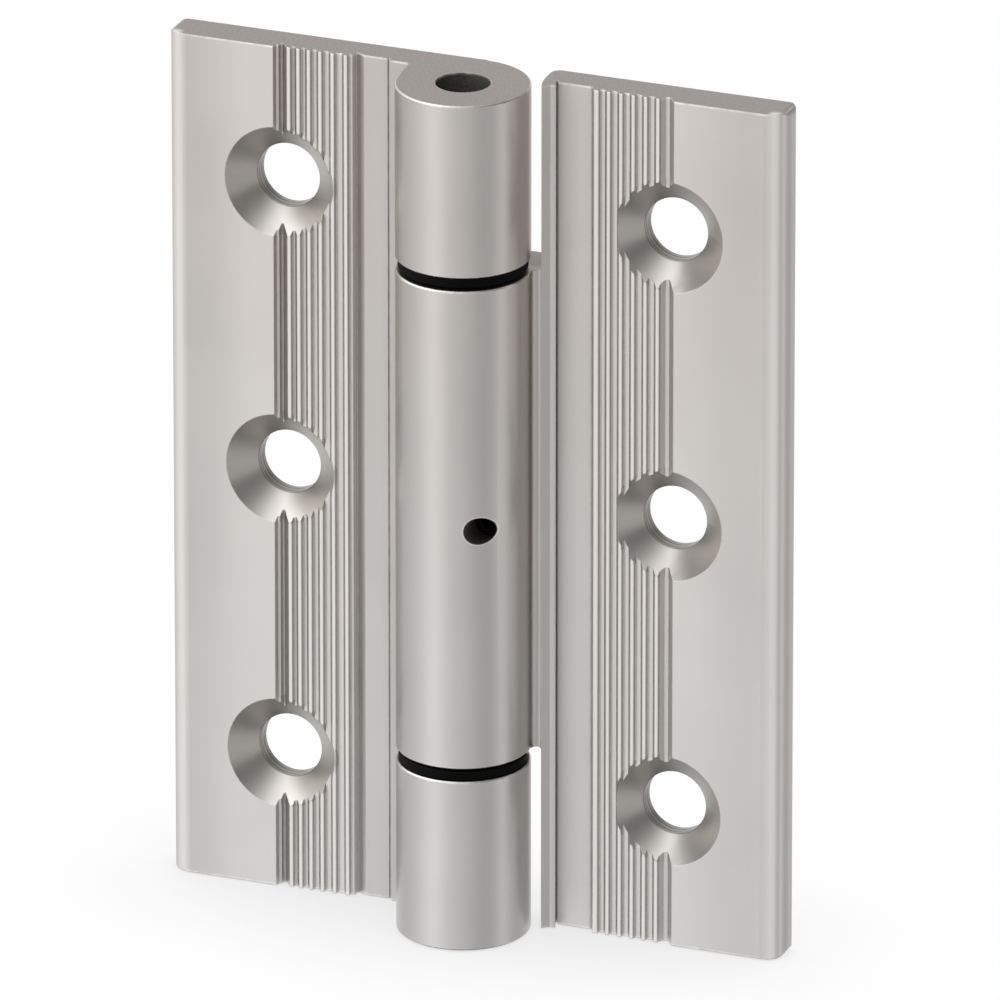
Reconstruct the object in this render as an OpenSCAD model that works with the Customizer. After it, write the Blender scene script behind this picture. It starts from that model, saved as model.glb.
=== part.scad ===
// Pivot hinge with two extruded leaves, an interleaved knuckle row, a bushed pin and a grub screw.
// Frame: +Z runs along the pin, the mounting backs face +Y, the knuckle stands out towards -Y.
// The origin lies on the pin's axis at half the height. All sizes are in millimetres.

/* [Leaves] */
// Height of the leaves and of the whole knuckle row
leaf_h = 100; // [90:1:160]
// Distance from the pin's axis to a leaf's outer edge
leaf_reach = 36.5; // [33:0.5:60]
// Thickness of a leaf's plain outer band
leaf_t = 4.6; // [4.2:0.1:5]
// Radius along a leaf's outer front edge
edge_front_r = 2.5; // [0.5:0.1:2.7]
// Radius along a leaf's outer back edge
edge_back_r = 1.2; // [0.3:0.1:1.5]
// Radius of a leaf's outer corners, seen from the front
corner_r = 0.9; // [0.4:0.1:3]

/* [Knuckles] */
// Outside diameter of the knuckles
knuckle_d = 15; // [14.8:0.1:15.4]
// Length of each of the two outer knuckles
outer_knuckle_l = 20.2; // [15:0.1:25]
// Gap between neighbouring knuckles, filled by a bush flange
knuckle_gap = 1.5; // [1.2:0.1:3]
// Clear space between a knuckle and the leaf edge that swings past it
sweep_gap = 0.32; // [0.3:0.01:0.4]
// Radius in the milled corners beside the knuckles
mill_r = 0.5; // [0.3:0.05:0.7]
// Edge break at the knuckle ends
knuckle_break = 0.15; // [0.1:0.05:0.5]

/* [Pin and bushes] */
// Pin diameter
pin_d = 6; // [5:0.5:7]
// Pin length
pin_l = 94; // [88:1:98]
// Running clearance between the pin and the bushes, on the radius
bush_clear = 0.04; // [0.02:0.01:0.08]
// Clearance between the pin and the outer knuckles, on the radius
knuckle_clear = 0.08; // [0.05:0.01:0.09]
// Wall thickness of a bush sleeve
bush_wall = 1; // [0.8:0.1:1.5]
// Length of a bush sleeve
bush_l = 8; // [5:1:12]
// Bush flange diameter
flange_d = 14.4; // [12:0.1:14.6]
// Clear space between a bush flange and the centre knuckle
flange_clear = 0.3; // [0.3:0.05:0.5]

/* [Grub screw] */
// Diameter of the hole that crosses the centre knuckle beside the pin
grub_d = 3.1; // [3:0.1:3.4]
// Depth of the turned groove in the pin that the screw locks
lock_groove = 0.3; // [0.2:0.05:0.5]
// Depth of the screw's end below the knuckle's surface
grub_sink = 2.8; // [2:0.1:3]
// Length of the grub screw
grub_l = 5; // [4:0.5:6]

/* [Screw holes] */
// Distance from the pin's axis to the line of screw holes
hole_reach = 22.9; // [22:0.1:30]
// Spacing between the screw holes along the leaf
hole_pitch = 34; // [25:1:40]
// Screw hole diameter
hole_d = 7.4; // [4:0.1:8]
// Countersink diameter at the outer band's surface
sink_d = 13; // [10:0.1:14]

/* [Serrations] */
// Number of raised ribs in each serrated band
rib_count = 6; // [3:1:6]
// Width of a rib's flat top
rib_top = 0.38; // [0.3:0.02:0.5]
// Width of a rib's steep side
rib_steep = 0.08; // [0.04:0.02:0.12]
// Width of a rib's sloping side
rib_slope = 0.34; // [0.1:0.02:0.4]
// Depth of the grooves between ribs
rib_depth = 0.42; // [0.2:0.02:0.6]
// Step from the outer band's surface down to the rib tops
rib_step = 0.2; // [0.1:0.05:0.4]
// Step from the outer band's surface down to the inner band
inner_step = 1.05; // [0.8:0.05:1.2]
// Depth of the groove beside the outer band
clip_depth = 1.25; // [1:0.05:1.4]

/* [Hidden] */

knuckle_r = knuckle_d / 2;
back_y = knuckle_r;
band_y = back_y - leaf_t;
rib_y = band_y + rib_step;
groove_y = rib_y + rib_depth;
inner_y = band_y + inner_step;
clip_y = band_y + clip_depth;
nose_x = knuckle_r + sweep_gap;
lip_x = nose_x + 0.5;
scribe_x = nose_x + 2.2;
frame_inner_x = 13.19;
door_inner_x = 13.5;
band_x = 23.62;
first_rib_half = 0.27;
outer_z = leaf_h / 2 - outer_knuckle_l;
centre_z = outer_z - knuckle_gap;
flange_t = knuckle_gap - flange_clear;
flange_break = 0.15;
bush_r = pin_d / 2 + bush_clear + bush_wall;
lock_clear = 0.05;
grub_x = pin_d / 2 - lock_groove + lock_clear + grub_d / 2;
grub_y = grub_sink - sqrt(pow(knuckle_r, 2) - pow(grub_x, 2));
over = 5;

// Rib centres, counted from the pin outwards. The frame leaf's ribs close up towards its outer edge.
function frame_rib(i) = 15.12 + 1.57 * i - 0.055 * i * (i - 1);
function door_rib(i) = 14.42 + 1.443 * i;

// One rib as four outline points, with the width of its side towards the pin and of its outer side
function rib(x, inner_side, outer_side) = [
    [x - rib_top / 2 - inner_side, groove_y],
    [x - rib_top / 2, rib_y],
    [x + rib_top / 2, rib_y],
    [x + rib_top / 2 + outer_side, groove_y]
];

// Points along an arc
function arc(cx, cy, r, from, to, n) =
    [for (i = [0:n]) let (a = from + (to - from) * i / n) [cx + r * cos(a), cy + r * sin(a)]];

// Leaf outline beyond the serrations: outer band, square outer edge and back face
function outer_outline() = [
    [band_x, band_y],
    [leaf_reach, band_y],
    [leaf_reach, back_y]
];

// Shape to take off a square corner at the origin so that it is left with radius r
module corner_off(r) {
    difference() {
        translate([-1, -1]) square(r + 1);
        translate([r, r]) circle(r, $fn = 64);
    }
}

// Rounds a leaf's two outer long edges
module round_edges() {
    difference() {
        children();
        translate([leaf_reach, band_y]) rotate(90) corner_off(edge_front_r);
        translate([leaf_reach, back_y]) rotate(180) corner_off(edge_back_r);
    }
}

// Frame leaf's section, drawn on the +X side: web, scribed line, inner band, V-groove, ribs,
// deep groove with a ledge in its outer wall, and outer band
module frame_section() {
    web_y = band_y + 0.6;
    circle(knuckle_r, $fn = 128);
    round_edges()
        polygon(concat(
            [[0, back_y], [0, 0], [knuckle_r, 0]],
            arc(nose_x + 0.25, web_y - 0.45, 0.45, 180, 90, 6),
            [[scribe_x, web_y], [scribe_x + 0.1, inner_y + 0.16]],
            [[scribe_x + 0.36, inner_y + 0.16], [scribe_x + 0.44, inner_y]],
            [[frame_inner_x, inner_y], [frame_inner_x + 1.11, inner_y + 0.45]],
            [[frame_inner_x + 1.26, groove_y]],
            [for (i = [0:rib_count - 1]) each rib(frame_rib(i), rib_steep, rib_slope)],
            [[band_x - 0.7, clip_y], [band_x - 0.52, clip_y]],
            [[band_x - 0.4, groove_y + 0.05], [band_x - 0.14, groove_y - 0.03]],
            outer_outline()
        ));
}

// Door leaf's section outside the knuckle: rounded nose, undercut lip with a slot at its foot,
// inner band that slopes up to the first rib, more ribs, shallow groove and outer band
module door_leaf_section() {
    round_edges()
        difference() {
            polygon(concat(
                [[nose_x, back_y]],
                arc(nose_x + 9.86, 5.4, 9.86, 180, 198.9, 6),
                [[lip_x + 0.83, band_y - 0.02], [lip_x + 1.46, band_y + 0.02]],
                [[lip_x + 1.46, band_y + 0.12], [lip_x + 1.06, inner_y]],
                [[lip_x + 1.02, inner_y + 0.4], [lip_x + 1.26, inner_y + 0.4]],
                [[lip_x + 1.3, inner_y]],
                [[door_inner_x, inner_y], [door_inner_x + 0.12, inner_y + 0.06]],
                [[door_rib(0) - first_rib_half, rib_y], [door_rib(0) + first_rib_half, rib_y]],
                [[door_rib(0) + first_rib_half + rib_steep, groove_y]],
                [for (i = [1:rib_count - 1]) each rib(door_rib(i), rib_slope, rib_steep)],
                [[band_x - 1.32, clip_y - 0.2], [band_x - 0.87, clip_y - 0.15]],
                outer_outline()
            ));
            translate([nose_x, back_y]) rotate(-90) corner_off(1);
        }
}

// Web that joins the centre knuckle to the door leaf, with a fillet against the knuckle
module door_web_section() {
    web_y = band_y - 0.45;
    fillet_r = 0.9;
    fillet_x = sqrt(pow(knuckle_r + fillet_r, 2) - pow(web_y - fillet_r, 2));
    circle(knuckle_r, $fn = 128);
    difference() {
        polygon([
            [0, back_y], [0, 0], [fillet_x, web_y - fillet_r], [fillet_x, web_y],
            [lip_x + 0.1, web_y], [lip_x + 1, back_y]
        ]);
        translate([fillet_x, web_y - fillet_r]) circle(fillet_r, $fn = 48);
    }
}

// Full-height bar of a section
module bar(h) {
    translate([0, 0, -h / 2]) linear_extrude(h) children();
}

// Cutter for the leaf's corners as seen from the front
module corners_off() {
    for (up = [0, 1])
        mirror([0, 0, up])
            translate([leaf_reach, back_y + 1, -leaf_h / 2])
                rotate([90, 0, 0])
                    linear_extrude(leaf_t + 4)
                        rotate(90) corner_off(corner_r);
}

// Countersunk screw holes in a row
module screw_holes() {
    sink_l = (sink_d - hole_d) / 2;
    for (i = [-1:1])
        translate([hole_reach, 0, i * hole_pitch])
            rotate([-90, 0, 0]) {
                cylinder(d = hole_d, h = back_y + 1, $fn = 96);
                translate([0, 0, band_y - 2])
                    cylinder(r1 = sink_d / 2 + 2, r2 = hole_d / 2, h = sink_l + 2, $fn = 96);
            }
}

// Milling cut through the knuckles from x0 to x1 and z0 to z1, less the corners a cutter leaves
module mill_cut(x0, x1, z0, z1) {
    translate([0, back_y + over, 0])
        rotate([90, 0, 0])
            linear_extrude(2 * knuckle_d)
                difference() {
                    translate([x0, z0]) square([x1 - x0, z1 - z0]);
                    children();
                }
}

// What a milling cutter of radius mill_r leaves in a corner at the origin
module mill_corner() {
    difference() {
        square(mill_r);
        translate([mill_r, mill_r]) circle(mill_r, $fn = 48);
    }
}

// Edge break round the free three quarters of a knuckle's lower end at the origin
module end_break() {
    rotate(90)
        rotate_extrude(angle = 270, $fn = 128)
            polygon([
                [knuckle_r - knuckle_break, -0.1],
                [knuckle_r + 0.1, -0.1],
                [knuckle_r + 0.1, knuckle_break],
                [knuckle_r, knuckle_break],
                [knuckle_r - knuckle_break, 0]
            ]);
}

module frame_leaf() {
    color([0.76, 0.75, 0.73])
        difference() {
            mirror([1, 0, 0]) {
                difference() {
                    bar(leaf_h) frame_section();
                    corners_off();
                    screw_holes();
                    // Room for the centre knuckle
                    mill_cut(-knuckle_d, nose_x, -outer_z, outer_z) {
                        translate([nose_x, outer_z]) rotate(180) mill_corner();
                        translate([nose_x, -outer_z]) rotate(90) mill_corner();
                    }
                    for (up = [0, 1])
                        mirror([0, 0, up]) {
                            translate([0, 0, outer_z]) end_break();
                            translate([0, 0, leaf_h / 2]) mirror([0, 0, 1]) end_break();
                        }
                }
            }
            cylinder(r = pin_d / 2 + knuckle_clear, h = leaf_h + 2, center = true, $fn = 96);
            // Counterbores for the bush sleeves
            cylinder(r = bush_r, h = 2 * (outer_z + bush_l), center = true, $fn = 96);
        }
}

module door_leaf() {
    color([0.77, 0.75, 0.74])
        difference() {
            union() {
                difference() {
                    bar(leaf_h) door_leaf_section();
                    corners_off();
                    screw_holes();
                }
                difference() {
                    bar(leaf_h) door_web_section();
                    // Room for the two outer knuckles
                    for (up = [0, 1])
                        mirror([0, 0, up]) {
                            mill_cut(-knuckle_d, knuckle_d, centre_z, leaf_h)
                                translate([lip_x, centre_z]) mirror([1, 0, 0]) mill_corner();
                            translate([0, 0, -centre_z]) end_break();
                        }
                }
            }
            cylinder(r = pin_d / 2, h = leaf_h, center = true, $fn = 96);
            // Hole for the grub screw
            translate([grub_x, grub_y + grub_l, 0])
                rotate([90, 0, 0]) cylinder(d = grub_d, h = knuckle_d, $fn = 64);
        }
}

// Pin with chamfered ends and a turned groove at mid-length for the grub screw
module hinge_pin() {
    tip = 0.5;
    half = grub_d / 2 + 0.1;
    color([0.6, 0.6, 0.6])
        rotate_extrude($fn = 96)
            polygon([
                [0, -pin_l / 2], [pin_d / 2 - tip, -pin_l / 2], [pin_d / 2, tip - pin_l / 2],
                [pin_d / 2, -half], [pin_d / 2 - lock_groove, -half],
                [pin_d / 2 - lock_groove, half], [pin_d / 2, half],
                [pin_d / 2, pin_l / 2 - tip], [pin_d / 2 - tip, pin_l / 2], [0, pin_l / 2]
            ]);
}

// Flanged bush, standing on its flange with the sleeve upwards
module bush() {
    bore_r = pin_d / 2 + bush_clear;
    rotate_extrude($fn = 128)
        polygon([
            [bore_r, 0], [flange_d / 2 - flange_break, 0], [flange_d / 2, flange_break],
            [flange_d / 2, flange_t - flange_break], [flange_d / 2 - flange_break, flange_t],
            [bush_r, flange_t], [bush_r, flange_t + bush_l], [bore_r, flange_t + bush_l]
        ]);
}

module upper_bush() {
    color([0.1, 0.1, 0.1]) translate([0, 0, outer_z - flange_t]) bush();
}

module lower_bush() {
    color([0.1, 0.1, 0.1]) mirror([0, 0, 1]) translate([0, 0, outer_z - flange_t]) bush();
}

// Socket set screw that passes beside the pin, in its groove, and locks it in the centre knuckle
module grub_screw() {
    color([0.12, 0.12, 0.12])
        translate([grub_x, grub_y + grub_l, 0])
            rotate([90, 0, 0])
                difference() {
                    cylinder(d = grub_d, h = grub_l, $fn = 64);
                    translate([0, 0, grub_l - 1.6]) cylinder(d = 1.9, h = 2, $fn = 6);
                }
}

frame_leaf();
door_leaf();
hinge_pin();
upper_bush();
lower_bush();
grub_screw();
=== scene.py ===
"""Pivot hinge: satin anodised aluminium leaves, black bushes and a steel pin, in a white studio."""

import math

import bpy
from mathutils import Matrix, Vector


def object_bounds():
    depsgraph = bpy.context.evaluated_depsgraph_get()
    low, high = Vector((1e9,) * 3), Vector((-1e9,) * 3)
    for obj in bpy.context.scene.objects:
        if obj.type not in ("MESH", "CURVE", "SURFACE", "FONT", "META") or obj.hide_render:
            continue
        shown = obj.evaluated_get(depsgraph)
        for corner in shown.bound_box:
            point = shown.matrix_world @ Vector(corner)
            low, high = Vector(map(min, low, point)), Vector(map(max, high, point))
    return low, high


MM = 0.001

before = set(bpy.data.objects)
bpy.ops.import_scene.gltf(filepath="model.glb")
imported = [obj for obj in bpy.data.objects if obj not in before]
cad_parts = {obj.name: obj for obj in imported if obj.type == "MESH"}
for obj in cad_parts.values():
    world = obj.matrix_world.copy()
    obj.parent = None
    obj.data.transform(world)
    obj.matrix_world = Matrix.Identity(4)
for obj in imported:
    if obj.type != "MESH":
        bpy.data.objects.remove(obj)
cad_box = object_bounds()
scene = bpy.context.scene
scene.view_settings.view_transform = "Standard"


# Camera: a long lens from the front right and above

CAMERA_TURN = math.radians(21.451)
CAMERA_RISE = math.radians(21.828)
CAMERA_AWAY = 2.4
CAMERA_LENS = 783.7
AIM_RIGHT = 4.049 * MM
AIM_UP = 0.754 * MM


def make_camera():
    """Long lens that looks at the middle of the hinge."""
    toward = Vector((-math.sin(CAMERA_TURN) * math.cos(CAMERA_RISE),
                     math.cos(CAMERA_TURN) * math.cos(CAMERA_RISE),
                     -math.sin(CAMERA_RISE)))
    right = toward.cross(Vector((0, 0, 1))).normalized()
    up = right.cross(toward)
    lens = bpy.data.cameras.new("camera")
    lens.lens = CAMERA_LENS
    lens.sensor_width = 36
    lens.clip_start = 0.1
    lens.clip_end = 20
    camera = bpy.data.objects.new("camera", lens)
    camera.matrix_world = Matrix.Translation(
        right * AIM_RIGHT + up * AIM_UP - toward * CAMERA_AWAY
    ) @ Matrix((right, up, -toward)).transposed().to_4x4()
    scene.collection.objects.link(camera)
    scene.camera = camera


make_camera()


# Node helpers

def linear(hex_colour):
    """Turns an sRGB hex colour to linear RGBA."""
    parts = [int(hex_colour[i:i + 2], 16) / 255 for i in (0, 2, 4)]
    return [p / 12.92 if p <= 0.04045 else ((p + 0.055) / 1.055) ** 2.4 for p in parts] + [1]


def add(tree, kind, links=None, **settings):
    """Adds a node. links maps an input's name or number to a socket or a value."""
    node = tree.nodes.new(kind)
    for name, value in settings.items():
        setattr(node, name, value)
    for name, value in (links or {}).items():
        if isinstance(value, bpy.types.NodeSocket):
            tree.links.new(value, node.inputs[name])
        else:
            node.inputs[name].default_value = value
    return node


def new_material(name):
    """Returns a new material, its tree, its shader and the place on the piece, in metres."""
    material = bpy.data.materials.new(name)
    material.use_nodes = True
    tree = material.node_tree
    tree.nodes.clear()
    shader = add(tree, "ShaderNodeBsdfPrincipled")
    add(tree, "ShaderNodeOutputMaterial", {"Surface": shader.outputs["BSDF"]})
    place = add(tree, "ShaderNodeTexCoord").outputs["Object"]
    return material, tree, shader, place


def find_edges(tree, radius, least, most):
    """Returns normals rounded over the radius, and a mask of the edges that they turn at.

    least and most are the cosines of the turns at which the mask starts and is full.
    """
    rounded = add(tree, "ShaderNodeBevel", {"Radius": radius}, samples=4).outputs[0]
    true_normal = add(tree, "ShaderNodeNewGeometry").outputs["Normal"]
    turned = add(tree, "ShaderNodeVectorMath", {
        0: rounded, 1: true_normal}, operation="DOT_PRODUCT").outputs["Value"]
    mask = add(tree, "ShaderNodeMapRange", {
        "Value": turned, "From Min": least, "From Max": most}).outputs[0]
    return rounded, mask


def find_radius(tree, place, centre, across):
    """Returns the distance from an axis through the centre. across is 0 along the axis and 1 across it."""
    offset = add(tree, "ShaderNodeVectorMath", {0: place, 1: centre}, operation="SUBTRACT").outputs[0]
    offset = add(tree, "ShaderNodeVectorMath", {0: offset, 1: across}, operation="MULTIPLY").outputs[0]
    return add(tree, "ShaderNodeVectorMath", {0: offset}, operation="LENGTH").outputs["Value"]


def make_rings(tree, distance, pitch):
    """Returns tool marks that go from -1 to 1 and back once for each pitch of the distance."""
    turn = add(tree, "ShaderNodeMath", {0: distance, 1: 2 * math.pi / pitch}, operation="MULTIPLY").outputs[0]
    return add(tree, "ShaderNodeMath", {0: turn}, operation="SINE").outputs[0]


def shade(tree, colour, pattern, ends, brightness):
    """Scales a colour by a pattern. brightness holds what the two ends of the pattern's range give."""
    factor = add(tree, "ShaderNodeMapRange", {
        "Value": pattern, "From Min": ends[0], "From Max": ends[1],
        "To Min": brightness[0], "To Max": brightness[1]}).outputs[0]
    return add(tree, "ShaderNodeVectorMath", {0: colour, 3: factor}, operation="SCALE").outputs[0]


# Sizes that the finishes follow, as distances from the pin's axis and from mid-height

REACH = cad_box[1][0]
BACK_Y = cad_box[1][1]
HALF_H = cad_box[1][2]
# Front of the outer bands, and the rib tops just behind it
FRONT_Y = BACK_Y - 4.6 * MM
RIB_TOP_Y = FRONT_Y + 0.2 * MM
# Heights of the knuckle ends on each side of a black bush
OUTER_KNUCKLE_END = HALF_H - 20.2 * MM
CENTRE_KNUCKLE_END = OUTER_KNUCKLE_END - 1.5 * MM
# A knuckle and its bore lie within these distances of the pin's axis
KNUCKLE_ZONE_R = 7.6 * MM
BORE_ZONE_R = 4.5 * MM
# Row of screw holes, with their countersinks, and the hole of the lock screw
HOLE_REACH = 22.9 * MM
HOLE_PITCH = 34 * MM
HOLE_R = 3.7 * MM
SINK_R = 6.5 * MM
LOCK_X = 4.3 * MM
LOCK_R = 1.55 * MM
# Middle and half width of the ribs and their clip groove, outwards from the row of screw holes
RIBS_MIDDLE = -4.3 * MM
RIBS_HALF = 4.7 * MM

# How far the rolled fronts of the leaves lean, in degrees towards +X, by distance along X in mm
FRONT_LEAN = (
    (-34, 7), (-31.5, 4.5), (-29, 0), (-24, -6), (-15, -5.5), (-13, 4), (-10, 4), (-8.3, 0),
    (7.35, 0), (7.65, 12), (8, 10), (8.35, 0), (9, 0), (9.2, 4), (9.5, 6), (9.75, 18), (10.05, 10), (10.5, 1),
    (13.3, -2), (15, -5), (22.5, -5), (26, -2.5), (31, 3.5), (33.6, 4), (34.3, -3), (34.8, -7),
    (35.2, -20), (35.5, -24), (35.9, -3), (36.3, 0),
)
# The lean curve runs from minus to plus this many degrees
MOST_LEAN = 30


# Anodised aluminium

def mark_screw_holes(tree, side, at, normal):
    """Finds the screw holes and their countersinks.

    Returns the distance outwards from the row of holes, the distance from the nearest hole's axis, a mask
    of a countersink's reach, and a mask of the walls in it.
    """
    across = add(tree, "ShaderNodeMath", {0: side, 1: HOLE_REACH}, operation="SUBTRACT").outputs[0]
    along = add(tree, "ShaderNodeMath", {
        0: at["Z"], 1: -HOLE_PITCH / 2, 2: HOLE_PITCH / 2}, operation="WRAP").outputs[0]
    from_hole = add(tree, "ShaderNodeCombineXYZ", {"X": across, "Y": along}).outputs[0]
    hole_r = add(tree, "ShaderNodeVectorMath", {0: from_hole}, operation="LENGTH").outputs["Value"]
    near_hole = add(tree, "ShaderNodeMath", {
        0: hole_r, 1: SINK_R + 0.05 * MM}, operation="LESS_THAN").outputs[0]
    # The walls are the faces that don't look to the front or the back
    face_on = add(tree, "ShaderNodeMath", {0: normal["Y"]}, operation="ABSOLUTE").outputs[0]
    tilted = add(tree, "ShaderNodeMath", {0: face_on, 1: 0.9}, operation="LESS_THAN").outputs[0]
    bored = add(tree, "ShaderNodeMath", {0: near_hole, 1: tilted}, operation="MULTIPLY").outputs[0]
    return across, hole_r, near_hole, bored


def mark_drilled(tree, at, end_on, pin_r, lock_r):
    """Returns masks of all drilled walls in the knuckles, of the lock screw's hole, and of the front half."""
    in_bore = add(tree, "ShaderNodeMath", {0: pin_r, 1: BORE_ZONE_R}, operation="LESS_THAN").outputs[0]
    upright = add(tree, "ShaderNodeMath", {0: end_on, 1: 0.5}, operation="LESS_THAN").outputs[0]
    drilled = add(tree, "ShaderNodeMath", {0: in_bore, 1: upright}, operation="MULTIPLY").outputs[0]
    in_lock = add(tree, "ShaderNodeMath", {
        0: lock_r, 1: LOCK_R + 0.04 * MM}, operation="LESS_THAN").outputs[0]
    forward = add(tree, "ShaderNodeMath", {0: at["Y"], 1: 1 * MM}, operation="LESS_THAN").outputs[0]
    in_lock = add(tree, "ShaderNodeMath", {0: in_lock, 1: forward}, operation="MULTIPLY").outputs[0]
    drilled = add(tree, "ShaderNodeMath", {0: drilled, 1: in_lock}, operation="MAXIMUM").outputs[0]
    return drilled, in_lock, forward


def mark_glint_lines(tree, at, pin_r, lock_r, in_lock, forward, sawn, ragged):
    """Returns a mask of painted highlights: thin bright lines along cut ends and round the lock screw's hole.
    """
    from_middle = add(tree, "ShaderNodeMath", {0: at["Z"]}, operation="ABSOLUTE").outputs[0]
    # Painted highlights along the leaves' cut ends and the knuckles' ends
    leaf_end = add(tree, "ShaderNodeMapRange", {
        "Value": from_middle, "From Min": HALF_H - 0.28 * MM, "From Max": HALF_H - 0.14 * MM}).outputs[0]
    outer_end = add(tree, "ShaderNodeMath", {
        0: from_middle, 1: OUTER_KNUCKLE_END + 0.1 * MM, 2: 0.13 * MM}, operation="COMPARE").outputs[0]
    centre_end = add(tree, "ShaderNodeMath", {
        0: from_middle, 1: CENTRE_KNUCKLE_END - 0.1 * MM, 2: 0.13 * MM}, operation="COMPARE").outputs[0]
    knuckle_end = add(tree, "ShaderNodeMath", {0: outer_end, 1: centre_end}, operation="ADD").outputs[0]
    on_knuckle = add(tree, "ShaderNodeMath", {
        0: pin_r, 1: KNUCKLE_ZONE_R}, operation="LESS_THAN").outputs[0]
    knuckle_end = add(tree, "ShaderNodeMath", {
        0: knuckle_end, 1: on_knuckle}, operation="MULTIPLY").outputs[0]
    glint_lines = add(tree, "ShaderNodeMath", {0: leaf_end, 1: knuckle_end}, operation="MAXIMUM").outputs[0]
    glint_lines = add(tree, "ShaderNodeMath", {0: glint_lines, 1: ragged}, operation="MULTIPLY").outputs[0]
    # Painted highlight round the lock screw's hole
    lock_rim_glint = add(tree, "ShaderNodeMapRange", {
        "Value": lock_r, "From Min": LOCK_R + 0.2 * MM, "From Max": LOCK_R + 0.1 * MM}).outputs[0]
    lock_rim_glint = add(tree, "ShaderNodeMath", {
        0: lock_rim_glint, 1: in_lock}, operation="SUBTRACT", use_clamp=True).outputs[0]
    lock_rim_glint = add(tree, "ShaderNodeMath", {0: lock_rim_glint, 1: forward}, operation="MULTIPLY").outputs[0]
    glint_lines = add(tree, "ShaderNodeMath", {0: glint_lines, 1: lock_rim_glint}, operation="MAXIMUM").outputs[0]
    return add(tree, "ShaderNodeMath", {0: glint_lines, 1: sawn}, operation="SUBTRACT", use_clamp=True).outputs[0]


def find_painted_shade(tree, at, near_hole, rib_zone):
    """Returns how much colour is left under painted shade.

    The shade is painted in the grooves within half a millimetre, and in the corners behind the ribs over some
    millimetres.
    """
    fine_open = add(tree, "ShaderNodeAmbientOcclusion", {"Distance": 0.6 * MM}, samples=3).outputs["AO"]
    wide_open = add(tree, "ShaderNodeAmbientOcclusion", {"Distance": 4.5 * MM}, samples=3).outputs["AO"]
    groove = add(tree, "ShaderNodeMapRange", {
        "Value": fine_open, "From Min": 0.3, "From Max": 0.9, "To Min": 0.85, "To Max": 1}).outputs[0]
    corner = add(tree, "ShaderNodeMapRange", {
        "Value": wide_open, "From Min": 0.6, "From Max": 0.95, "To Min": 0.72, "To Max": 1}).outputs[0]
    behind = add(tree, "ShaderNodeMapRange", {
        "Value": at["Y"], "From Min": RIB_TOP_Y, "From Max": RIB_TOP_Y + 0.4 * MM}).outputs[0]
    behind = add(tree, "ShaderNodeMath", {
        0: behind, 1: near_hole}, operation="SUBTRACT", use_clamp=True).outputs[0]
    corner = add(tree, "ShaderNodeMix", {
        "Factor": behind, "A": 1.0, "B": corner}, data_type="FLOAT").outputs["Result"]
    return add(tree, "ShaderNodeMix", {
        "Factor": rib_zone, "A": corner, "B": groove}, data_type="FLOAT").outputs["Result"]


def lean_fronts(tree, place, at, normal, rounded):
    """Returns normals that lean like the fronts of real leaves, which aren't dead flat but slightly wavy."""
    along_x = add(tree, "ShaderNodeMapRange", {
        "Value": at["X"], "From Min": -REACH, "From Max": REACH}).outputs[0]
    curve = add(tree, "ShaderNodeFloatCurve", {"Value": along_x})
    points = curve.mapping.curves[0].points
    for i, (x, degrees) in enumerate(FRONT_LEAN):
        spot = ((x * MM / REACH + 1) / 2, degrees / (2 * MOST_LEAN) + 0.5)
        if i < 2:
            points[i].location = spot
        else:
            points.new(*spot)
    curve.mapping.update()
    lean = add(tree, "ShaderNodeMapRange", {
        "Value": curve.outputs[0],
        "To Min": -math.radians(MOST_LEAN), "To Max": math.radians(MOST_LEAN)}).outputs[0]
    # Waves 8 mm wide and 30 mm long
    wave_place = add(tree, "ShaderNodeMapping", {
        "Vector": place, "Scale": (1 / (8 * MM), 1 / (8 * MM), 1 / (30 * MM))}).outputs[0]
    wavy = add(tree, "ShaderNodeTexNoise", {"Vector": wave_place, "Scale": 1, "Detail": 1}).outputs["Fac"]
    wavy = add(tree, "ShaderNodeMapRange", {
        "Value": wavy, "To Min": -math.radians(4), "To Max": math.radians(4)}).outputs[0]
    lean = add(tree, "ShaderNodeMath", {0: lean, 1: wavy}, operation="ADD").outputs[0]
    front = add(tree, "ShaderNodeMapRange", {
        "Value": normal["Y"], "From Min": -0.3, "From Max": -0.6}).outputs[0]
    lean = add(tree, "ShaderNodeMath", {0: lean, 1: front}, operation="MULTIPLY").outputs[0]
    lean = add(tree, "ShaderNodeCombineXYZ", {"X": lean}).outputs[0]
    lean = add(tree, "ShaderNodeVectorTransform", {"Vector": lean},
               vector_type="VECTOR", convert_from="OBJECT", convert_to="WORLD").outputs[0]
    leaning = add(tree, "ShaderNodeVectorMath", {0: rounded, 1: lean}, operation="ADD").outputs[0]
    return add(tree, "ShaderNodeVectorMath", {0: leaning}, operation="NORMALIZE").outputs[0]


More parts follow.
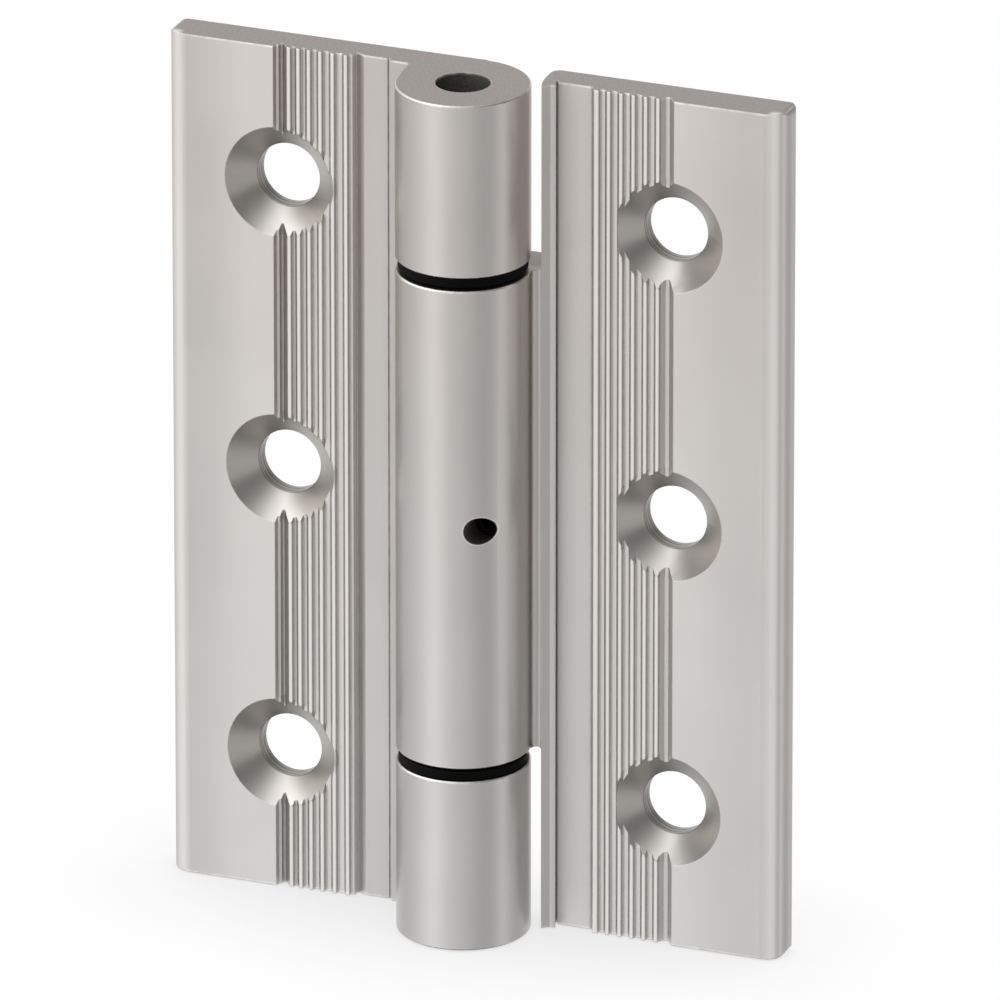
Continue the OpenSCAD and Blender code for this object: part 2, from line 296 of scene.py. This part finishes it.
def anodised_extrusion():
    """Natural anodised aluminium, extruded along Z and then sawn, drilled and milled.

    The eye sees a satin grey with faint die lines along the length, lighter rib tops, painted shade in the
    grooves and corners, dull sawn ends, ringed countersinks, drilled walls painted dark, and painted
    highlights along the edges in slightly ragged lines.
    """
    material, tree, shader, place = new_material("anodised_aluminium_extrusion")
    shader.inputs["Metallic"].default_value = 1
    facing = add(tree, "ShaderNodeTexCoord").outputs["Normal"]
    normal = add(tree, "ShaderNodeSeparateXYZ", {0: facing}).outputs
    at = add(tree, "ShaderNodeSeparateXYZ", {0: place}).outputs

    # Etched grain under the anodic layer, drawn 0.25 mm wide so that it shows
    grain = add(tree, "ShaderNodeTexNoise", {
        "Vector": place, "Scale": 1 / (0.25 * MM), "Detail": 3}).outputs["Fac"]
    # Broad, faint clouds in the anodic layer, 9 mm wide
    cloud = add(tree, "ShaderNodeTexNoise", {
        "Vector": place, "Scale": 1 / (9 * MM), "Detail": 2}).outputs["Fac"]
    # Die lines, 0.15 mm wide and 40 mm long
    die_place = add(tree, "ShaderNodeMapping", {
        "Vector": place, "Scale": (1 / (0.15 * MM), 1 / (0.15 * MM), 1 / (40 * MM))}).outputs[0]
    die_lines = add(tree, "ShaderNodeTexNoise", {
        "Vector": die_place, "Scale": 1, "Detail": 3}).outputs["Fac"]
    # Ragged breaks in the painted highlights along the edges, about 1 mm long
    highlight_breaks = add(tree, "ShaderNodeTexNoise", {
        "Vector": place, "Scale": 1 / (1.1 * MM), "Detail": 4}).outputs["Fac"]

    # Sawn ends face up or down
    end_on = add(tree, "ShaderNodeMath", {0: normal["Z"]}, operation="ABSOLUTE").outputs[0]
    sawn = add(tree, "ShaderNodeMapRange", {
        "Value": end_on, "From Min": 0.85, "From Max": 0.97}).outputs[0]

    side = add(tree, "ShaderNodeMath", {0: at["X"]}, operation="ABSOLUTE").outputs[0]
    across, hole_r, near_hole, bored = mark_screw_holes(tree, side, at, normal)
    # Turned rings in the countersinks, drawn 0.22 mm apart so that they show
    rings = make_rings(tree, hole_r, 0.22 * MM)
    # The straight wall of a screw hole has drill marks 0.7 mm apart down its depth
    drill_rings = make_rings(tree, at["Y"], 0.7 * MM)
    in_wall = add(tree, "ShaderNodeMapRange", {
        "Value": hole_r, "From Min": HOLE_R + 0.12 * MM, "From Max": HOLE_R + 0.02 * MM}).outputs[0]

    # Drilled holes through and across the knuckles
    pin_r = find_radius(tree, place, (0, 0, 0), (1, 1, 0))
    lock_r = find_radius(tree, place, (LOCK_X, 0, 0), (1, 0, 1))
    drilled, in_lock, forward = mark_drilled(tree, at, end_on, pin_r, lock_r)

    # Rib tops stand 0.42 mm over their grooves and are coloured lighter
    rib_zone = add(tree, "ShaderNodeMath", {
        0: across, 1: RIBS_MIDDLE, 2: RIBS_HALF}, operation="COMPARE").outputs[0]
    rib_high = add(tree, "ShaderNodeMapRange", {
        "Value": at["Y"], "From Min": RIB_TOP_Y + 0.2 * MM, "From Max": RIB_TOP_Y + 0.02 * MM}).outputs[0]
    rib_top = add(tree, "ShaderNodeMath", {0: rib_zone, 1: rib_high}, operation="MULTIPLY").outputs[0]

    # Edges get painted highlights in ragged lines
    rounded, edge = find_edges(tree, 0.14 * MM, 0.995, 0.9)
    ragged = add(tree, "ShaderNodeMapRange", {
        "Value": highlight_breaks, "From Min": 0.4, "From Max": 0.62, "To Min": 0.35, "To Max": 1}).outputs[0]
    edge = add(tree, "ShaderNodeMath", {0: edge, 1: ragged}, operation="MULTIPLY").outputs[0]
    # Where the countersinks cut the ribs, and round the holes in them, the edges get a dark line instead of a
    # painted highlight
    inner_rim = add(tree, "ShaderNodeMath", {
        0: hole_r, 1: HOLE_R + 0.25 * MM}, operation="LESS_THAN").outputs[0]
    dark_rim_line = add(tree, "ShaderNodeMath", {0: inner_rim, 1: rib_zone}, operation="MAXIMUM").outputs[0]
    dark_rim_line = add(tree, "ShaderNodeMath", {0: dark_rim_line, 1: near_hole}, operation="MULTIPLY").outputs[0]
    dark_rim_line = add(tree, "ShaderNodeMath", {0: dark_rim_line, 1: edge}, operation="MULTIPLY").outputs[0]
    edge = add(tree, "ShaderNodeMath", {0: edge, 1: dark_rim_line}, operation="SUBTRACT").outputs[0]
    # The rounded outer front edges get a painted highlight all over
    round_edge_highlight = add(tree, "ShaderNodeMapRange", {
        "Value": side, "From Min": REACH - 2.2 * MM, "From Max": REACH - 1.4 * MM}).outputs[0]
    round_front = add(tree, "ShaderNodeMapRange", {
        "Value": at["Y"], "From Min": FRONT_Y + 1.4 * MM, "From Max": FRONT_Y + 0.6 * MM}).outputs[0]
    round_edge_highlight = add(tree, "ShaderNodeMath", {0: round_edge_highlight, 1: round_front}, operation="MULTIPLY").outputs[0]

    glint_lines = mark_glint_lines(tree, at, pin_r, lock_r, in_lock, forward, sawn, ragged)
    # All the painted highlights together
    painted_highlight = add(tree, "ShaderNodeMath", {0: edge, 1: round_edge_highlight}, operation="MAXIMUM").outputs[0]
    painted_highlight = add(tree, "ShaderNodeMath", {0: painted_highlight, 1: glint_lines}, operation="MAXIMUM").outputs[0]

    # The colour goes from warm at the top to neutral at the bottom; the anodic layer has faint clouds
    low = add(tree, "ShaderNodeMapRange", {
        "Value": at["Z"], "From Min": 30 * MM, "From Max": -HALF_H}).outputs[0]
    tone = add(tree, "ShaderNodeMix", {
        "Factor": low, "A": linear("D4CFCB"), "B": linear("D6D4D2")}, data_type="RGBA").outputs["Result"]
    colour = shade(tree, tone, cloud, (0, 1), (0.96, 1.05))
    end_colour = shade(tree, linear("A7A09B")[:3], grain, (0.3, 0.7), (0.82, 1.14))
    wall_colour = shade(tree, linear("A8A59E")[:3], drill_rings, (-1, 1), (0.62, 1.15))
    sink_colour = shade(tree, linear("D2CEC9")[:3], rings, (-1, 1), (0.99, 1.01))
    sink_colour = add(tree, "ShaderNodeMix", {
        "Factor": in_wall, "A": sink_colour, "B": wall_colour}, data_type="RGBA").outputs["Result"]
    # The drilled walls are painted dark for the shade inside the holes, speckled by the grain
    bore_shade_colour = add(tree, "ShaderNodeMix", {
        "Factor": grain, "A": linear("565551"), "B": linear("A9A6A0")}, data_type="RGBA").outputs["Result"]
    for mask, over in ((rib_top, linear("E4E1DD")), (sawn, end_colour), (bored, sink_colour),
                       (drilled, bore_shade_colour)):
        colour = add(tree, "ShaderNodeMix", {
            "Factor": mask, "A": colour, "B": over}, data_type="RGBA").outputs["Result"]
    # Painted shade darkens the colour in the grooves and in the corners behind the ribs
    painted_shade_factor = find_painted_shade(tree, at, near_hole, rib_zone)
    colour = add(tree, "ShaderNodeVectorMath", {0: colour, 3: painted_shade_factor}, operation="SCALE").outputs[0]
    # The painted highlights go on in a pale colour, and the dark rim lines in a dark one
    for mask, over in ((painted_highlight, "F2EFEB"), (dark_rim_line, "55524D")):
        colour = add(tree, "ShaderNodeMix", {
            "Factor": mask, "A": colour, "B": linear(over)}, data_type="RGBA").outputs["Result"]
    tree.links.new(colour, shader.inputs["Base Color"])

    rough = add(tree, "ShaderNodeMapRange", {"Value": grain, "To Min": 0.3, "To Max": 0.36}).outputs[0]
    for mask, over in ((round_edge_highlight, 0.45), (bored, 0.32), (sawn, 0.4), (drilled, 0.6)):
        rough = add(tree, "ShaderNodeMix", {
            "Factor": mask, "A": rough, "B": over}, data_type="FLOAT").outputs["Result"]
    tree.links.new(rough, shader.inputs["Roughness"])

    # Die lines, turned rings and grain, one over the other on the leaning normals
    bump = lean_fronts(tree, place, at, normal, rounded)
    ring_height = add(tree, "ShaderNodeMath", {0: rings, 1: bored}, operation="MULTIPLY").outputs[0]
    for height, strength, depth in ((die_lines, 0.1, 0.02), (ring_height, 0.06, 0.01), (grain, 0.14, 0.02)):
        bump = add(tree, "ShaderNodeBump", {
            "Height": height, "Normal": bump, "Strength": strength, "Distance": depth * MM}).outputs[0]
    tree.links.new(bump, shader.inputs["Normal"])
    return material


# Black plastic and steel

def black_acetal():
    """Black moulded acetal: nearly black and dull, with a faint moulded grain and a painted sheen on the
    edges.
    """
    material, tree, shader, place = new_material("black_acetal")
    shader.inputs["Specular IOR Level"].default_value = 0.08
    # Moulded grain, drawn 0.2 mm wide so that it shows
    grain = add(tree, "ShaderNodeTexNoise", {
        "Vector": place, "Scale": 1 / (0.2 * MM), "Detail": 3}).outputs["Fac"]
    rounded, edge = find_edges(tree, 0.1 * MM, 0.99, 0.85)
    colour = add(tree, "ShaderNodeMix", {
        "Factor": grain, "A": linear("030303"), "B": linear("080808")}, data_type="RGBA").outputs["Result"]
    # Painted sheen: the edges are coloured paler
    colour = add(tree, "ShaderNodeMix", {
        "Factor": edge, "A": colour, "B": linear("2A2A29")}, data_type="RGBA").outputs["Result"]
    tree.links.new(colour, shader.inputs["Base Color"])
    rough = add(tree, "ShaderNodeMapRange", {"Value": grain, "To Min": 0.45, "To Max": 0.65}).outputs[0]
    tree.links.new(rough, shader.inputs["Roughness"])
    bump = add(tree, "ShaderNodeBump", {
        "Height": grain, "Normal": rounded, "Strength": 0.15, "Distance": 0.02 * MM}).outputs[0]
    tree.links.new(bump, shader.inputs["Normal"])
    return material


def ground_steel():
    """Ground stainless steel: mid grey, with fine rings round the pin and a darker mottle of dust."""
    material, tree, shader, place = new_material("ground_stainless_steel")
    shader.inputs["Metallic"].default_value = 1
    # Grinding marks run round the pin, drawn 0.2 mm wide so that they show
    mark_place = add(tree, "ShaderNodeMapping", {
        "Vector": place, "Scale": (1 / (6 * MM), 1 / (6 * MM), 1 / (0.2 * MM))}).outputs[0]
    marks = add(tree, "ShaderNodeTexNoise", {
        "Vector": mark_place, "Scale": 1, "Detail": 2}).outputs["Fac"]
    # Dust in specks 0.3 mm wide
    dust = add(tree, "ShaderNodeTexNoise", {
        "Vector": place, "Scale": 1 / (0.3 * MM), "Detail": 4}).outputs["Fac"]
    mottle = add(tree, "ShaderNodeMath", {0: marks, 1: dust}, operation="MULTIPLY").outputs[0]
    mottle = add(tree, "ShaderNodeMapRange", {
        "Value": mottle, "From Min": 0.15, "From Max": 0.4}).outputs[0]
    colour = add(tree, "ShaderNodeMix", {
        "Factor": mottle, "A": linear("6E6D6A"), "B": linear("A5A4A1")}, data_type="RGBA").outputs["Result"]
    tree.links.new(colour, shader.inputs["Base Color"])
    rough = add(tree, "ShaderNodeMapRange", {"Value": dust, "To Min": 0.35, "To Max": 0.55}).outputs[0]
    tree.links.new(rough, shader.inputs["Roughness"])
    bump = add(tree, "ShaderNodeBump", {
        "Height": marks, "Strength": 0.15, "Distance": 0.01 * MM}).outputs[0]
    tree.links.new(bump, shader.inputs["Normal"])
    return material


def black_oxide():
    """Black oxide on steel: almost black with a thin film of oil, rubbed to grey on the socket's edges."""
    material, tree, shader, place = new_material("black_oxide_steel")
    shader.inputs["Metallic"].default_value = 1
    # Blotches of oil, 0.5 mm wide
    mottle = add(tree, "ShaderNodeTexNoise", {
        "Vector": place, "Scale": 1 / (0.5 * MM), "Detail": 3}).outputs["Fac"]
    rounded, edge = find_edges(tree, 0.06 * MM, 0.99, 0.85)
    colour = add(tree, "ShaderNodeMix", {
        "Factor": mottle, "A": linear("161617"), "B": linear("262627")}, data_type="RGBA").outputs["Result"]
    colour = add(tree, "ShaderNodeMix", {
        "Factor": edge, "A": colour, "B": linear("585858")}, data_type="RGBA").outputs["Result"]
    tree.links.new(colour, shader.inputs["Base Color"])
    rough = add(tree, "ShaderNodeMapRange", {"Value": mottle, "To Min": 0.35, "To Max": 0.55}).outputs[0]
    tree.links.new(rough, shader.inputs["Roughness"])
    tree.links.new(rounded, shader.inputs["Normal"])
    return material


aluminium = anodised_extrusion()
acetal = black_acetal()
for name, material in (
    ("frame_leaf", aluminium), ("door_leaf", aluminium), ("hinge_pin", ground_steel()),
    ("upper_bush", acetal), ("lower_bush", acetal), ("grub_screw", black_oxide()),
):
    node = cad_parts[name]
    node.data.materials.clear()
    node.data.materials.append(material)


# Stage

FLOOR_HALF = 6
FLOOR_GAP = 0.2 * MM
# The soft shadow under the hinge: how far it reaches, and how bright the floor stays in it
SHADOW_REACH = 25 * MM
SHADOW_TONE = 0.72


def make_floor():
    """White floor that keeps a soft shadow where the hinge stands."""
    mesh = bpy.data.meshes.new("floor")
    z = cad_box[0][2] - FLOOR_GAP
    corners = [(x * FLOOR_HALF, y * FLOOR_HALF, z) for x, y in ((-1, -1), (1, -1), (1, 1), (-1, 1))]
    mesh.from_pydata(corners, [], [(0, 1, 2, 3)])
    floor = bpy.data.objects.new("floor", mesh)
    scene.collection.objects.link(floor)
    material = bpy.data.materials.new("white_sweep")
    material.use_nodes = True
    tree = material.node_tree
    tree.nodes.clear()
    open_sky = add(tree, "ShaderNodeAmbientOcclusion", {"Distance": SHADOW_REACH}, samples=8)
    shadow = add(tree, "ShaderNodeMapRange", {
        "Value": open_sky.outputs["AO"], "To Min": SHADOW_TONE, "To Max": 1.0})
    white = add(tree, "ShaderNodeEmission", {"Strength": shadow.outputs[0]})
    add(tree, "ShaderNodeOutputMaterial", {"Surface": white.outputs[0]})
    mesh.materials.append(material)
    floor.visible_glossy = False
    floor.visible_diffuse = False
    floor.visible_shadow = False


# Tall soft lights round the hinge: turn from the front in degrees, spread in degrees, brightness
LIGHTS = {
    "key": (-36, 43, 0.47),
    "key_core": (-35, 12, 0.13),
    "front_fill": (22, 18, 0.1),
    "side_strip": (92, 13, 0.34),
    "sweep": (-158, 40, 0.45),
}
ROOM = 0.5
# The room over eye level: darker, with a broad soft light high on the left and the sweep at the back
TOP_ROOM = 0.13
TOP_KEY = (-62, 42, 42, 1.8)
TOP_SWEEP = 0.64
# Height, from -1 straight below to 1 straight above, at which the upper room has taken over
TOP_FULL = 0.28
# The floor of the room darkens between these heights, by this much straight below
FLOOR_FADE = (-0.5, -0.9)
FLOOR_DARK = 0.72


def glow(tree, direction, turn, rise, spread):
    """Returns a soft round light seen in that direction, with brightness 1 at its middle."""
    turn, rise = math.radians(turn), math.radians(rise)
    narrowness = 2 / math.radians(spread) ** 2
    middle = (math.sin(turn) * math.cos(rise), -math.cos(turn) * math.cos(rise), math.sin(rise))
    toward = add(tree, "ShaderNodeVectorMath", {0: direction, 1: middle}, operation="DOT_PRODUCT")
    power = add(tree, "ShaderNodeMath", {
        0: toward.outputs["Value"], 1: narrowness, 2: -narrowness}, operation="MULTIPLY_ADD")
    return add(tree, "ShaderNodeMath", {0: power.outputs[0]}, operation="EXPONENT").outputs[0]


def make_world():
    """White to the camera. Round the hinge, a grey room with the tall soft lights in it."""
    world = bpy.data.worlds.new("studio")
    scene.world = world
    world.use_nodes = True
    tree = world.node_tree
    tree.nodes.clear()
    way = add(tree, "ShaderNodeTexCoord").outputs["Generated"]
    level = add(tree, "ShaderNodeVectorMath", {0: way, 1: (1, 1, 0)}, operation="MULTIPLY").outputs[0]
    level = add(tree, "ShaderNodeVectorMath", {0: level}, operation="NORMALIZE").outputs[0]

    belt = ROOM
    for turn, spread, brightness in LIGHTS.values():
        belt = add(tree, "ShaderNodeMath", {
            0: glow(tree, level, turn, 0, spread), 1: brightness, 2: belt},
            operation="MULTIPLY_ADD").outputs[0]
    turn, rise, spread, brightness = TOP_KEY
    top = add(tree, "ShaderNodeMath", {
        0: glow(tree, way, turn, rise, spread), 1: brightness, 2: TOP_ROOM},
        operation="MULTIPLY_ADD").outputs[0]
    turn, spread, _ = LIGHTS["sweep"]
    top = add(tree, "ShaderNodeMath", {
        0: glow(tree, level, turn, 0, spread), 1: TOP_SWEEP, 2: top}, operation="MULTIPLY_ADD").outputs[0]

    height = add(tree, "ShaderNodeSeparateXYZ", {0: way}).outputs["Z"]
    high = add(tree, "ShaderNodeMapRange", {
        "Value": height, "From Min": 0.0, "From Max": TOP_FULL}, interpolation_type="SMOOTHSTEP").outputs[0]
    low = add(tree, "ShaderNodeMapRange", {
        "Value": height, "From Min": FLOOR_FADE[0], "From Max": FLOOR_FADE[1],
        "To Min": 1, "To Max": 1 - FLOOR_DARK}, interpolation_type="SMOOTHSTEP").outputs[0]
    total = add(tree, "ShaderNodeMix", {
        "Factor": high, "A": belt, "B": top}, data_type="FLOAT").outputs["Result"]
    total = add(tree, "ShaderNodeMath", {0: total, 1: low}, operation="MULTIPLY").outputs[0]
    path = add(tree, "ShaderNodeLightPath").outputs
    studio = add(tree, "ShaderNodeBackground", {"Color": (1, 1, 1, 1), "Strength": total})
    white = add(tree, "ShaderNodeBackground", {"Color": (1, 1, 1, 1), "Strength": 1})
    mix = add(tree, "ShaderNodeMixShader", {
        0: path["Is Camera Ray"], 1: studio.outputs[0], 2: white.outputs[0]})
    add(tree, "ShaderNodeOutputWorld", {"Surface": mix.outputs[0]})


make_floor()
make_world()
